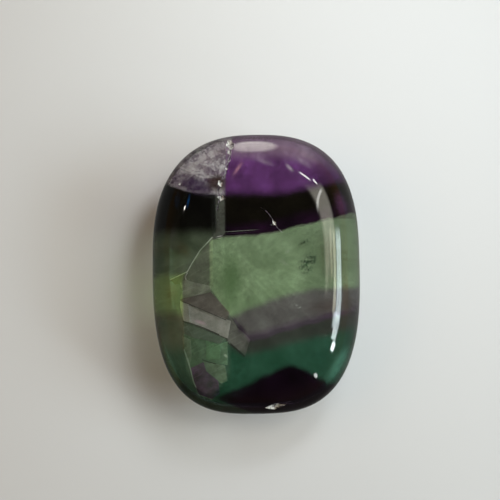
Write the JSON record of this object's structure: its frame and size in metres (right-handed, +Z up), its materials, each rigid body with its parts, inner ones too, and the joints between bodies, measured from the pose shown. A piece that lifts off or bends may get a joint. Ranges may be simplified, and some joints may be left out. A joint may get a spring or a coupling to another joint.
{
  "type": "fluorite palm stone",
  "caption": "Polished pillow-shaped fluorite stone with lilac, black-purple and green growth bands, an inner cleavage veil, an open crack and small chips.",
  "frame": {"origin": "under the middle of the stone's box, on the plane it rests on", "axes": "+Z up, out of the banded face; +Y along the stone, towards its lilac end; +X to the right of the face"},
  "size_m": [0.0248, 0.0334, 0.011],
  "materials": {
    "fluorite": "polished"
  },
  "bodies": {
    "root": {"fluorite_stone": "fluorite"}
  },
  "joints": []
}
